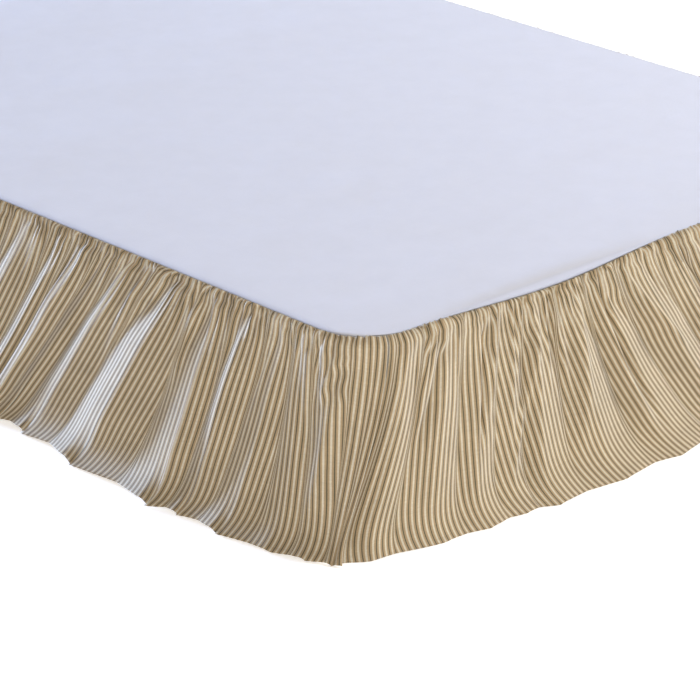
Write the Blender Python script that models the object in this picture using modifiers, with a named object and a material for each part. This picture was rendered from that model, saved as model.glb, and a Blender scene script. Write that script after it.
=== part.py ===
"""A queen size gathered bed skirt on the box spring and plain frame that it dresses.

The deck cloth lies on the box spring. Three ruffles hang from its edge, down both sides and
across the foot, and reach the floor with a flare. The foot corners are split, and there the side
ruffle laps over the foot ruffle. +X is on the right of someone who looks from the foot to the
head, +Y is towards the head and +Z is up. The origin is on the floor under the centre leg.
"""

import math
from collections import namedtuple

import bmesh
import bpy
import numpy as np

# The deck as cut, seam to seam, and the height of its top above the floor.
DECK_WIDTH = 1.524
DECK_LENGTH = 2.032
DECK_HEIGHT = 0.360

# Cloth.
CLOTH = 0.002  # thickness of every cloth
REST_GAP = 0.0003  # between pieces that touch
SEAM_GAP = 0.0014  # between the middles of the two cloth edges at a seam
HEM_LIFT = 0.0016  # middle of the hem above the floor

# Box spring. Its faces stand just inside the deck's seams.
BOX_INSET = 0.006
BOX_HEIGHT = 0.190
BOX_CORNER = 0.098
BOX_EDGE = 0.020

# The cloth rolls over the box spring's top edge on a radius of its own.
ROLL_RADIUS = 0.022
ROLL_INSET = 0.020  # middle of the roll inside the deck's nominal outline
LEAVE_ANGLE = 1.25  # radians of roll at which a ruffle leaves the box spring

# Frame under the box spring.
BEARER = (1.300, 0.070, 0.050)
BEARER_PLACES = (("foot", -0.850), ("middle", 0.0), ("head", 0.850))
RAIL = (0.025, 1.860, 0.050)
LEG_WIDTH = 0.060
LEG_SPREAD = 0.580
WOOD_EDGE = 0.002

# How far the deck cloth has rolled over an edge at its seam. It hangs evenly over the head and
# the sides, but for the foot corners, and over the foot in swells: each has its middle and half
# its width along the seam.
Swell = namedtuple("Swell", "middle reach extra")
USUAL_OVERHANG = 0.014
LEAST_OVERHANG = 0.003
SIDE_OVERHANG_GROWS = (-0.04, 0.10)
FOOT_SWELLS = (Swell(0.42, 0.39, 0.017), Swell(1.08, 0.22, 0.008))

RIM_CORNER = BOX_CORNER + BOX_INSET - ROLL_INSET
RIM_START = BOX_CORNER + BOX_INSET  # from a nominal corner to where the straight rim starts
HALF_ARC = RIM_CORNER * math.pi / 4  # rim length from a corner's middle to the straight rim

# A side of the deck: the nominal corner that it starts from, its direction, its outward normal
# and its length.
Side = namedtuple("Side", "corner along out length")
LEFT = Side((-DECK_WIDTH / 2, -DECK_LENGTH / 2), (0, 1), (-1, 0), DECK_LENGTH)
RIGHT = Side((DECK_WIDTH / 2, -DECK_LENGTH / 2), (0, 1), (1, 0), DECK_LENGTH)
FOOT = Side((-DECK_WIDTH / 2, -DECK_LENGTH / 2), (1, 0), (0, -1), DECK_WIDTH)
HEAD = Side((-DECK_WIDTH / 2, DECK_LENGTH / 2), (1, 0), (0, 1), DECK_WIDTH)

# One fold of a ruffle, along its crest.
#   top        distance along the seam from the middle of the side's starting corner
#   hem_along  where the crest meets the hem, along the side from its nominal corner
#   hem_out    and outward from the deck's nominal outline
#   late       how late the cloth swings along and out, 1 being a straight line from seam to hem
#   ridge      height of the crest over the valleys
#   flank      width of the steeper flank past the crest, along the seam
Fold = namedtuple("Fold", "top hem_along hem_out late ridge flank")

LEFT_FOLDS = (
    Fold(-0.025, -0.036, 0.102, 1.6, 0.007, 0.020),
    Fold(0.004, -0.025, 0.111, 1.6, 0.007, 0.020),
    Fold(0.062, 0.022, 0.129, 1.5, 0.009, 0.030),
    Fold(0.120, 0.088, 0.149, 1.4, 0.006, 0.020),
    Fold(0.167, 0.206, 0.163, 1.4, 0.015, 0.038),
    Fold(0.253, 0.308, 0.166, 1.1, 0.014, 0.040),
    Fold(0.336, 0.377, 0.173, 1.2, 0.022, 0.048),
    Fold(0.442, 0.600, 0.160, 1.0, 0.027, 0.064),
    Fold(0.575, 0.770, 0.140, 1.0, 0.021, 0.034),
    Fold(0.639, 0.852, 0.136, 1.1, 0.012, 0.028),
    Fold(0.702, 0.894, 0.150, 1.1, 0.024, 0.042),
    Fold(0.772, 0.934, 0.153, 1.2, 0.016, 0.032),
)
FOOT_FOLDS = (
    Fold(0.0275, -0.098, 0.026, 1.6, 0.000, 0.010),
    Fold(0.060, -0.046, 0.054, 1.6, 0.008, 0.028),
    Fold(0.147, 0.096, 0.089, 1.2, 0.010, 0.036),
    Fold(0.224, 0.196, 0.100, 1.1, 0.015, 0.040),
    Fold(0.300, 0.282, 0.108, 1.1, 0.008, 0.026),
    Fold(0.356, 0.350, 0.115, 1.2, 0.018, 0.044),
    Fold(0.445, 0.516, 0.123, 1.1, 0.016, 0.034),
    Fold(0.506, 0.664, 0.117, 1.3, 0.022, 0.058),
    Fold(0.626, 0.856, 0.113, 1.2, 0.020, 0.044),
    Fold(0.712, 0.934, 0.117, 1.1, 0.013, 0.036),
    Fold(0.785, 0.990, 0.120, 1.1, 0.021, 0.054),
    Fold(0.900, 1.052, 0.112, 1.2, 0.015, 0.042),
    Fold(0.985, 1.100, 0.118, 1.2, 0.018, 0.050),
    Fold(1.092, 1.158, 0.112, 1.2, 0.013, 0.042),
    Fold(1.180, 1.244, 0.102, 1.3, 0.016, 0.048),
    Fold(1.290, 1.388, 0.088, 1.4, 0.010, 0.038),
    Fold(1.382, 1.560, 0.054, 1.6, 0.006, 0.020),
    Fold(1.4205, 1.620, 0.026, 1.6, 0.000, 0.010),
)
RIGHT_FOLDS = (
    Fold(-0.025, -0.036, 0.104, 1.6, 0.007, 0.020),
    Fold(0.006, -0.022, 0.112, 1.6, 0.006, 0.020),
    Fold(0.078, 0.044, 0.126, 1.5, 0.013, 0.036),
    Fold(0.151, 0.142, 0.150, 1.4, 0.010, 0.034),
    Fold(0.242, 0.262, 0.158, 1.3, 0.021, 0.046),
    Fold(0.330, 0.392, 0.146, 1.1, 0.013, 0.036),
    Fold(0.412, 0.504, 0.152, 1.0, 0.024, 0.058),
    Fold(0.535, 0.662, 0.140, 1.1, 0.018, 0.036),
    Fold(0.607, 0.752, 0.146, 1.0, 0.014, 0.036),
    Fold(0.690, 0.842, 0.138, 1.0, 0.023, 0.050),
)

# Folds farther up a side than the tables reach: the last edge along the seam and at the hem, the
# usual fold, and how far each fold strays from that.
FAR_FOLDS_END = 1.945
FAR_HEM_END = DECK_LENGTH - 0.008
FAR_STEP = 0.094
FAR_FOLD = Fold(0.0, 0.0, 0.142, 1.1, 0.019, 0.044)
FAR_STRAY = Fold(0.024, 0.012, 0.012, 0.2, 0.006, 0.008)
STRAY_TURNS = (2.4, 5.1)  # radians from fold to fold of the two waves that they stray by
EDGE_DRAWN_IN = 0.030  # how far the head edge's hem lies inside the usual one
EDGE_FLANK = 0.010

# Across a fold: its columns on the steeper flank and on the face up to the next crest.
FLANK_COLUMNS = (0.0, 0.5, 1.0)
FACE_COLUMNS = (0.25, 0.5, 0.75)
MOST_FLANK = 0.6  # share of a fold's width
FACE_RISE = 0.85  # share of the face by which the cloth is almost up to the next crest
FACE_TILT = 0.10  # share of the crest's height that it still gains from there

# Down the drop: rows on the roll and from there to the hem, the share of the drop by which the
# folds are at their full height, and from which they open out to this share of it at the hem.
ROLL_ROWS = (0.0, 0.5)
DROP_ROWS = (0.0, 0.13, 0.31, 0.51, 0.70, 0.85, 0.94, 1.0)
FOLDS_FULL = 0.22
FOLDS_OPEN = 0.62
HEM_SHARE = 0.35

# The share of its way out from the rim that the cloth goes in the flare at the hem, where it
# bends on the floor, and how late that comes.
FLARE = 0.40
FLARE_LATE = 14.0

# Stations round the deck: on half a corner, along a side or the head, and along the foot.
CORNER_STATIONS = 5
SIDE_STATIONS = 9
FOOT_STATIONS = 33


def clear_scene():
    for obj in list(bpy.data.objects):
        bpy.data.objects.remove(obj, do_unlink=True)


def ramp(x):
    """0 below 0, 1 above 1, and a smooth step between."""
    x = np.clip(x, 0.0, 1.0)
    return x * x * (3.0 - 2.0 * x)


def ramp_between(span, x):
    return ramp((x - span[0]) / (span[1] - span[0]))


def follow(known, values, x):
    """A smooth line through the known values that never overshoots them, read at x."""
    known = np.asarray(known, float)
    values = np.asarray(values, float)
    step = np.diff(known)
    slope = np.diff(values) / step
    inner = np.zeros(len(known))
    rising = slope[:-1] * slope[1:] > 0
    mean = 2.0 * slope[:-1] * slope[1:] / np.where(rising, slope[:-1] + slope[1:], 1.0)
    inner[1:-1] = np.where(rising, mean, 0.0)
    inner[0] = slope[0]
    inner[-1] = slope[-1]
    i = np.clip(np.searchsorted(known, x) - 1, 0, len(step) - 1)
    t = (x - known[i]) / step[i]
    return (
        values[i] * (1 + 2 * t) * (1 - t) ** 2
        + values[i + 1] * t * t * (3 - 2 * t)
        + inner[i] * step[i] * t * (1 - t) ** 2
        - inner[i + 1] * step[i] * t * t * (1 - t)
    )


# The rim: the line on the box spring's top where the cloth starts to roll down.


def rim_length(side):
    """From the middle of the side's first corner to the middle of its last."""
    return side.length - 2 * RIM_START + 2 * HALF_ARC


def rim_point(side, q):
    """The rim at distance q from the middle of the side's first corner, and its normal."""
    straight = side.length - 2 * RIM_START
    before = min(q - HALF_ARC, 0.0)
    after = max(q - HALF_ARC - straight, 0.0)
    turn = (before + after) / RIM_CORNER
    along = RIM_START + min(max(q - HALF_ARC, 0.0), straight) + RIM_CORNER * math.sin(turn)
    out = -RIM_START + RIM_CORNER * math.cos(turn)
    return world(side, along, out), direction(side, math.sin(turn), math.cos(turn))


def direction(side, along, out):
    return along * np.array(side.along, float) + out * np.array(side.out, float)


def world(side, along, out):
    return np.array(side.corner) + direction(side, along, out)


def overhang(side, q):
    """Length of deck cloth that has rolled over the edge at the seam."""
    if side is HEAD:
        return USUAL_OVERHANG
    if side is FOOT:
        extra = 0.0
        for swell in FOOT_SWELLS:
            away = min(abs(q - swell.middle) / swell.reach, 1.0)
            extra += swell.extra * math.cos(away * math.pi / 2) ** 2
        return LEAST_OVERHANG + extra
    grown = float(ramp_between(SIDE_OVERHANG_GROWS, q))
    return LEAST_OVERHANG + (USUAL_OVERHANG - LEAST_OVERHANG) * grown


def rolled(side, q, angle):
    """Middle of the cloth on the roll, at an angle down from level."""
    rim, normal = rim_point(side, q)
    level = DECK_HEIGHT - CLOTH / 2
    across = rim + normal * ROLL_RADIUS * math.sin(angle)
    return np.array([*across, level - ROLL_RADIUS * (1.0 - math.cos(angle))])


# Ruffles.


def far_folds(table, turn):
    """The folds from the end of a table to the ruffle's head edge."""
    last = table[-1]
    count = int((FAR_FOLDS_END - last.top) / FAR_STEP)
    step = (FAR_FOLDS_END - last.top) / count
    swing = last.hem_along - last.top
    swing_at_end = FAR_HEM_END - FAR_FOLDS_END
    folds = []
    for i in range(1, count):
        stray, other = (math.sin(wave * i + turn) for wave in STRAY_TURNS)
        done = i / count
        top = last.top + step * i + FAR_STRAY.top * stray
        folds.append(
            Fold(
                top,
                top + swing + (swing_at_end - swing) * done + FAR_STRAY.hem_along * other,
                FAR_FOLD.hem_out + FAR_STRAY.hem_out * stray,
                FAR_FOLD.late + FAR_STRAY.late * done,
                FAR_FOLD.ridge + FAR_STRAY.ridge * other,
                FAR_FOLD.flank + FAR_STRAY.flank * stray,
            )
        )
    edge_out = FAR_FOLD.hem_out - EDGE_DRAWN_IN
    edge = Fold(FAR_FOLDS_END, FAR_HEM_END, edge_out, FAR_FOLD.late, 0.0, EDGE_FLANK)
    return tuple(table) + tuple(folds) + (edge,)


def fold_columns(folds):
    """Distances along the seam at which a ruffle has a column of points."""
    columns = []
    for fold, following in zip(folds, folds[1:]):
        width = following.top - fold.top
        flank = min(fold.flank, MOST_FLANK * width)
        columns += [fold.top + flank * share for share in FLANK_COLUMNS]
        columns += [fold.top + flank + (width - flank) * share for share in FACE_COLUMNS]
    return np.array(columns + [folds[-1].top])


def fold_height(folds, q):
    """Height of the cloth over its valleys at the fullest part of the drop."""
    tops = [fold.top for fold in folds]
    i = int(np.clip(np.searchsorted(tops, q, side="right") - 1, 0, len(folds) - 2))
    fold, following = folds[i], folds[i + 1]
    width = following.top - fold.top
    flank = min(fold.flank, MOST_FLANK * width)
    past = q - fold.top
    fall = fold.ridge * max(1.0 - past / flank, 0.0)
    face = max(past - flank, 0.0) / (width - flank)
    rise = following.ridge * min(face / FACE_RISE, 1.0) * (1.0 - FACE_TILT * (1.0 - face))
    return fall + rise


def fold_depth(drop):
    """Share of a fold's height at a share of the drop."""
    opening = ramp_between((FOLDS_OPEN, 1.0), drop)
    return ramp(drop / FOLDS_FULL) * (1.0 - (1.0 - HEM_SHARE) * opening)


def ruffle_grid(side, folds):
    """Points of the ruffle's middle surface, by column and then down the drop."""
    q = fold_columns(folds)
    tops = [fold.top for fold in folds]
    hem_along = follow(tops, [fold.hem_along for fold in folds], q)
    hem_out = follow(tops, [fold.hem_out for fold in folds], q)
    late = follow(tops, [fold.late for fold in folds], q)
    grid = np.zeros((len(q), len(ROLL_ROWS) + len(DROP_ROWS), 3))
    drops = np.array([0.0] * len(ROLL_ROWS) + list(DROP_ROWS))
    for i, distance in enumerate(q):
        seam = (overhang(side, distance) + SEAM_GAP) / ROLL_RADIUS
        for j, share in enumerate(ROLL_ROWS):
            angle = seam + (LEAVE_ANGLE - seam) * share
            grid[i, j] = rolled(side, distance, angle)
        leave = rolled(side, distance, LEAVE_ANGLE)
        hem = np.array([*world(side, hem_along[i], hem_out[i]), HEM_LIFT])
        normal = rim_point(side, distance)[1]
        away = ((hem - leave)[:2] @ normal) * normal
        beside = (hem - leave)[:2] - away
        for j, drop in enumerate(DROP_ROWS, len(ROLL_ROWS)):
            swung = drop ** late[i]
            flared = (1.0 - FLARE) * swung + FLARE * drop**FLARE_LATE
            level = leave[:2] + beside * swung + away * flared
            grid[i, j] = [*level, leave[2] + (hem - leave)[2] * drop]
    heights = np.array([fold_height(folds, distance) for distance in q])
    push = heights[:, None] * fold_depth(drops)[None, :]
    return grid + push[:, :, None] * outward(grid, side)


def outward(grid, side):
    """Level unit vectors square to a grid of points, away from the box spring."""
    normal = np.cross(np.gradient(grid, axis=0), np.gradient(grid, axis=1))
    normal[:, :, 2] = 0.0
    normal /= np.linalg.norm(normal, axis=2, keepdims=True)
    if np.sum(normal[:, :, :2] @ np.array(side.out, float)) < 0:
        normal = -normal
    return normal


def build_ruffle(name, side, folds, material):
    """A ruffle: one sheet from the seam to the hem, folded and thick."""
    grid = ruffle_grid(side, folds)
    columns, rows, _ = grid.shape
    mesh = bmesh.new()
    points = [[mesh.verts.new(point) for point in column] for column in grid]
    for i in range(columns - 1):
        for j in range(rows - 1):
            corners = (points[i][j], points[i + 1][j], points[i + 1][j + 1], points[i][j + 1])
            mesh.faces.new(corners)
    bmesh.ops.recalc_face_normals(mesh, faces=mesh.faces)
    return thick_sheet(name, mesh, material)


def thick_sheet(name, mesh, material):
    """An object from an open surface, as thick as the cloth."""
    data = bpy.data.meshes.new(name)
    mesh.to_mesh(data)
    mesh.free()
    data.shade_smooth()
    data.set_sharp_from_angle(angle=math.radians(50))
    obj = bpy.data.objects.new(name, data)
    thick = obj.modifiers.new("Cloth", "SOLIDIFY")
    thick.thickness = CLOTH
    thick.offset = 0.0
    data.materials.append(material)
    return obj


# Deck cloth.


def deck_stations():
    """Places round the deck's rim: each is a side and a distance along it."""
    arc = [HALF_ARC * i / CORNER_STATIONS for i in range(CORNER_STATIONS)]
    stations = []
    for side, backwards in ((LEFT, False), (HEAD, False), (RIGHT, True), (FOOT, True)):
        end = rim_length(side)
        count = FOOT_STATIONS if side is FOOT else SIDE_STATIONS
        middle = np.linspace(HALF_ARC, end - HALF_ARC, count)
        places = arc + list(middle) + [end - place for place in reversed(arc)]
        if backwards:
            places.reverse()
        stations += [(side, place) for place in places[:-1]]
    return stations


def build_deck(material):
    """The deck: a flat sheet whose edge rolls a little way over the box spring."""
    mesh = bmesh.new()
    rings = []
    for share in (0.0, 0.5, 1.0):
        ring = []
        for side, q in deck_stations():
            angle = share * overhang(side, q) / ROLL_RADIUS
            ring.append(mesh.verts.new(rolled(side, q, angle)))
        rings.append(ring)
    mesh.faces.new(rings[0])
    for inner, outer in zip(rings, rings[1:]):
        for i in range(len(inner)):
            mesh.faces.new((inner[i - 1], outer[i - 1], outer[i], inner[i]))
    bmesh.ops.recalc_face_normals(mesh, faces=mesh.faces)
    return thick_sheet("deck", mesh, material)


# Box spring and frame.


def build_box(name, size, centre, edge, material, segments=1):
    """A box of a size about a centre, with a small edge all round."""
    bpy.ops.mesh.primitive_cube_add(size=1.0, location=centre)
    obj = bpy.context.object
    obj.name = name
    obj.data.name = name
    obj.scale = size
    bpy.ops.object.transform_apply(location=False, rotation=False, scale=True)
    round_edges = obj.modifiers.new("Edges", "BEVEL")
    round_edges.width = edge
    round_edges.segments = segments
    round_edges.limit_method = "ANGLE"
    round_edges.angle_limit = math.radians(60)
    obj.data.materials.append(material)
    return obj


def build_box_spring(material):
    """The box spring, with round corners in plan and soft edges."""
    top = DECK_HEIGHT - CLOTH - REST_GAP
    size = (DECK_WIDTH - 2 * BOX_INSET, DECK_LENGTH - 2 * BOX_INSET, BOX_HEIGHT)
    centre = (0.0, 0.0, top - BOX_HEIGHT / 2)
    obj = build_box("box_spring", size, centre, BOX_EDGE, material, segments=4)
    mesh = bmesh.new()
    mesh.from_mesh(obj.data)
    upright = [edge for edge in mesh.edges if abs(edge.verts[0].co.z - edge.verts[1].co.z) > 0.1]
    bmesh.ops.bevel(
        mesh,
        geom=upright,
        offset=BOX_CORNER,
        segments=8,
        profile=0.5,
        affect="EDGES",
        clamp_overlap=False,
    )
    mesh.to_mesh(obj.data)
    mesh.free()
    obj.data.shade_smooth()
    obj.data.set_sharp_from_angle(angle=math.radians(35))
    return obj


def build_frame(material):
    """Three cross bearers, two side rails and seven legs."""
    bearer_top = DECK_HEIGHT - CLOTH - BOX_HEIGHT - 2 * REST_GAP
    bearer_z = bearer_top - BEARER[2] / 2
    leg_height = bearer_top - BEARER[2] - REST_GAP
    pieces = []
    for place, y in BEARER_PLACES:
        pieces.append(
            build_box(f"bearer_{place}", BEARER, (0, y, bearer_z), WOOD_EDGE, material)
        )
    rail_x = BEARER[0] / 2 + REST_GAP + RAIL[0] / 2
    for hand, sign in (("left", -1), ("right", 1)):
        centre = (sign * rail_x, 0, bearer_z)
        pieces.append(build_box(f"rail_{hand}", RAIL, centre, WOOD_EDGE, material))
        for place, y in BEARER_PLACES:
            pieces.append(
                build_leg(f"leg_{place}_{hand}", sign * LEG_SPREAD, y, leg_height, material)
            )
    pieces.append(build_leg("leg_centre", 0.0, 0.0, leg_height, material))
    return pieces


def build_leg(name, x, y, height, material):
    size = (LEG_WIDTH, LEG_WIDTH, height)
    return build_box(name, size, (x, y, height / 2), WOOD_EDGE, material)


def make_material(name, colour, roughness):
    material = bpy.data.materials.new(name)
    material.use_nodes = True
    surface = material.node_tree.nodes["Principled BSDF"]
    surface.inputs["Base Color"].default_value = (*colour, 1.0)
    surface.inputs["Roughness"].default_value = roughness
    surface.inputs["Metallic"].default_value = 0.0
    return material


def gather(objects, name):
    """Moves the objects into a collection of their own."""
    collection = bpy.data.collections.new(name)
    bpy.context.scene.collection.children.link(collection)
    for obj in objects:
        for holder in list(obj.users_collection):
            holder.objects.unlink(obj)
        collection.objects.link(obj)


def main():
    clear_scene()
    deck_cloth = make_material("Deck cloth", (0.69, 0.71, 0.81), 0.85)
    left_ticking = make_material("Ticking, left side", (0.56, 0.47, 0.36), 0.85)
    foot_ticking = make_material("Ticking, foot", (0.62, 0.54, 0.38), 0.85)
    right_ticking = make_material("Ticking, right side", (0.58, 0.50, 0.37), 0.85)
    box_cover = make_material("Box spring cover", (0.78, 0.77, 0.74), 0.80)
    wood = make_material("Frame wood", (0.55, 0.38, 0.22), 0.55)
    objects = [
        build_deck(deck_cloth),
        build_ruffle("left_ruffle", LEFT, far_folds(LEFT_FOLDS, 0.4), left_ticking),
        build_ruffle("foot_ruffle", FOOT, FOOT_FOLDS, foot_ticking),
        build_ruffle("right_ruffle", RIGHT, far_folds(RIGHT_FOLDS, 1.9), right_ticking),
        build_box_spring(box_cover),
    ]
    objects += build_frame(wood)
    gather(objects, "Bed skirt")


main()
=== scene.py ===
"""The looks of a gathered bed skirt: its ticking and deck cloth, and the box spring and frame.

The cloth of each packed sheet is made again on a fine grid, on the same rim, roll and folds, with
the gathers under its seam, its lesser pleats and its soft crumples. Sizes are in metres.
"""

import math
from collections import namedtuple

import bmesh
import bpy
import numpy as np
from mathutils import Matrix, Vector, geometry, noise


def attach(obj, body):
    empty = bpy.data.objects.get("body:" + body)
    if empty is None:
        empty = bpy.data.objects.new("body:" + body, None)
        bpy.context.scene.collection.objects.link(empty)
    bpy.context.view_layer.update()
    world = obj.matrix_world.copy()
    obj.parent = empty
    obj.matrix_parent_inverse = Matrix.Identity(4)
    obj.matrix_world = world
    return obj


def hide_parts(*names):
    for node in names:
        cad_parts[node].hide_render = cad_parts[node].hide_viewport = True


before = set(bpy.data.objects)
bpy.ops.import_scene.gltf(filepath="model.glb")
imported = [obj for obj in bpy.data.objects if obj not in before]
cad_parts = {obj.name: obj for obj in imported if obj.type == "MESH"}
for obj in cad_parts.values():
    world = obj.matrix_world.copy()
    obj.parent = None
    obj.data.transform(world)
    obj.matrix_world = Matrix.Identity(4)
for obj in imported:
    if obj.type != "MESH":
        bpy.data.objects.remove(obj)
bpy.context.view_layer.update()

# The deck's nominal outline, seam to seam, and the middle of its cloth above the floor.
DECK_WIDTH = 1.524
DECK_LENGTH = 2.032
DECK_LEVEL = 0.359

CLOTH = 0.0010  # thickness of the cloth that shows
HEM_LIFT = 0.0012  # middle of the hem above the floor

# The roll of the cloth over the box spring's edge: its radius, how far its rim, where the cloth
# starts to turn down, is inside the nominal outline, and the slope at which a ruffle leaves it.
ROLL_RADIUS = 0.022
ROLL_INSET = 0.020
LEAVE_ANGLE = 1.25
RIM_START = 0.104  # from a nominal corner to where the straight rim starts
RIM_CORNER = RIM_START - ROLL_INSET  # radius of the rim's corners
HALF_ARC = RIM_CORNER * math.pi / 4  # half of the rim's length round a corner

# How far the deck cloth has rolled over an edge at its seam: usually, at least, where that grows
# along a side, and where the foot seam dips.
Swell = namedtuple("Swell", "middle reach extra")
USUAL_OVERHANG = 0.014
LEAST_OVERHANG = 0.003
SIDE_OVERHANG_GROWS = (-0.04, 0.10)
FOOT_SWELLS = (Swell(0.42, 0.39, 0.017), Swell(1.08, 0.22, 0.008))
SEAM_GROOVE = 0.0004  # between the two cloths at the seam
SEAM_TUCK = 0.0010  # by which the ruffle starts lower than the deck's edge

# A side of the deck: its starting corner, its direction, its outward normal and its length.
Side = namedtuple("Side", "corner along out length")
LEFT = Side((-DECK_WIDTH / 2, -DECK_LENGTH / 2), (0, 1), (-1, 0), DECK_LENGTH)
RIGHT = Side((DECK_WIDTH / 2, -DECK_LENGTH / 2), (0, 1), (1, 0), DECK_LENGTH)
FOOT = Side((-DECK_WIDTH / 2, -DECK_LENGTH / 2), (1, 0), (0, -1), DECK_WIDTH)
HEAD = Side((-DECK_WIDTH / 2, DECK_LENGTH / 2), (1, 0), (0, 1), DECK_WIDTH)

# One main fold of a ruffle, along its crest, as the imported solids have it: distance along the
# seam, where it meets the hem along the side and outward, how late it swings out, the height of
# its crest and the width of the steep flank past it.
Fold = namedtuple("Fold", "top hem_along hem_out late ridge flank")
LEFT_FOLDS = (
    Fold(-0.025, -0.036, 0.102, 1.6, 0.007, 0.020),
    Fold(0.004, -0.025, 0.111, 1.6, 0.007, 0.020),
    Fold(0.062, 0.022, 0.129, 1.5, 0.009, 0.030),
    Fold(0.120, 0.088, 0.149, 1.4, 0.006, 0.020),
    Fold(0.167, 0.206, 0.163, 1.4, 0.015, 0.038),
    Fold(0.253, 0.308, 0.166, 1.1, 0.014, 0.040),
    Fold(0.336, 0.377, 0.173, 1.2, 0.022, 0.048),
    Fold(0.442, 0.600, 0.160, 1.0, 0.027, 0.064),
    Fold(0.575, 0.770, 0.140, 1.0, 0.021, 0.034),
    Fold(0.639, 0.852, 0.136, 1.1, 0.012, 0.028),
    Fold(0.702, 0.894, 0.150, 1.1, 0.024, 0.042),
    Fold(0.772, 0.934, 0.153, 1.2, 0.016, 0.032),
)
FOOT_FOLDS = (
    Fold(0.0275, -0.098, 0.026, 1.6, 0.000, 0.010),
    Fold(0.060, -0.046, 0.054, 1.6, 0.008, 0.028),
    Fold(0.147, 0.096, 0.089, 1.2, 0.010, 0.036),
    Fold(0.224, 0.196, 0.100, 1.1, 0.015, 0.040),
    Fold(0.300, 0.282, 0.108, 1.1, 0.008, 0.026),
    Fold(0.356, 0.350, 0.115, 1.2, 0.018, 0.044),
    Fold(0.445, 0.516, 0.123, 1.1, 0.016, 0.034),
    Fold(0.506, 0.664, 0.117, 1.3, 0.022, 0.058),
    Fold(0.626, 0.856, 0.113, 1.2, 0.020, 0.044),
    Fold(0.712, 0.934, 0.117, 1.1, 0.013, 0.036),
    Fold(0.785, 0.990, 0.120, 1.1, 0.021, 0.054),
    Fold(0.900, 1.052, 0.112, 1.2, 0.015, 0.042),
    Fold(0.985, 1.100, 0.118, 1.2, 0.018, 0.050),
    Fold(1.092, 1.158, 0.112, 1.2, 0.013, 0.042),
    Fold(1.180, 1.244, 0.102, 1.3, 0.016, 0.048),
    Fold(1.290, 1.388, 0.088, 1.4, 0.010, 0.038),
    Fold(1.382, 1.560, 0.054, 1.6, 0.006, 0.020),
    Fold(1.4205, 1.620, 0.026, 1.6, 0.000, 0.010),
)
RIGHT_FOLDS = (
    Fold(-0.025, -0.036, 0.104, 1.6, 0.007, 0.020),
    Fold(0.006, -0.022, 0.112, 1.6, 0.006, 0.020),
    Fold(0.078, 0.044, 0.126, 1.5, 0.013, 0.036),
    Fold(0.151, 0.142, 0.150, 1.4, 0.010, 0.034),
    Fold(0.242, 0.262, 0.158, 1.3, 0.021, 0.046),
    Fold(0.330, 0.392, 0.146, 1.1, 0.013, 0.036),
    Fold(0.412, 0.504, 0.152, 1.0, 0.024, 0.058),
    Fold(0.535, 0.662, 0.140, 1.1, 0.018, 0.036),
    Fold(0.607, 0.752, 0.146, 1.0, 0.014, 0.036),
    Fold(0.690, 0.842, 0.138, 1.0, 0.023, 0.050),
)

# Folds farther up a side than the tables reach: where the last one is on the seam and on the hem,
# how far apart they are, the usual one and how far each may stray from it, and how the head edge
# of the ruffle differs.
FAR_FOLDS_END = 1.945
FAR_HEM_END = DECK_LENGTH - 0.008
FAR_STEP = 0.094
FAR_FOLD = Fold(0.0, 0.0, 0.142, 1.1, 0.019, 0.044)
FAR_STRAY = Fold(0.024, 0.012, 0.012, 0.2, 0.006, 0.008)
STRAY_TURNS = (2.4, 5.1)
EDGE_DRAWN_IN = 0.030
EDGE_FLANK = 0.010

# Folds across the cloth: the most that a steep flank takes of the way to the next crest, the share
# of the gentle face over which it rises to that crest, and its tilt.
MOST_FLANK = 0.6
FACE_RISE = 0.85
FACE_TILT = 0.10

# Folds down the cloth, in shares of the drop: where they start, how high and wide they are there,
# where they are full, where they begin to open, and how high they are at the hem.
FOLDS_START = 0.05
FOLD_AT_SEAM = 0.30
FOLDS_FULL = 0.40
FOLDS_OPEN = 0.72
HEM_SHARE = 0.60

# The share of its way out from the rim that the cloth goes in the flare at the hem, where it
# bends on the floor, and how late that comes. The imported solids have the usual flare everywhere.
# The short one lets the left ruffle's crests run on to the hem, as in the photograph.
Flare = namedtuple("Flare", "share late")
USUAL_FLARE = Flare(0.40, 14.0)
SHORT_FLARE = Flare(0.17, 20.0)

NOTCH_AT = 0.14  # where the hem's notch past a crest is highest, as a share of the way on

# A lesser pleat laid on a ruffle: its distance along the seam at its upper and its lower
# end, the shares of the drop at which those are, its height (below 0 for a trough) and its half
# width along the seam.
Pleat = namedtuple("Pleat", "upper lower start end height width")
PLEAT_RISES = 0.2  # share of a pleat's length over which it rises
PLEAT_FADES = 0.4
LEFT_PLEATS = (
    Pleat(0.378, 0.386, 0.04, 0.55, 0.007, 0.010),
    Pleat(0.258, 0.262, 0.02, 0.75, 0.005, 0.012),
    Pleat(0.525, 0.505, 0.04, 0.60, 0.007, 0.010),
    Pleat(0.103, 0.098, 0.02, 0.50, 0.007, 0.008),
    Pleat(0.066, 0.074, 0.02, 0.32, 0.006, 0.006),
    Pleat(0.040, 0.070, 0.04, 0.34, 0.006, 0.006),
    Pleat(0.022, 0.090, 0.10, 0.95, 0.008, 0.014),
    Pleat(-0.017, -0.018, 0.15, 1.00, -0.008, 0.008),
)
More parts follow.
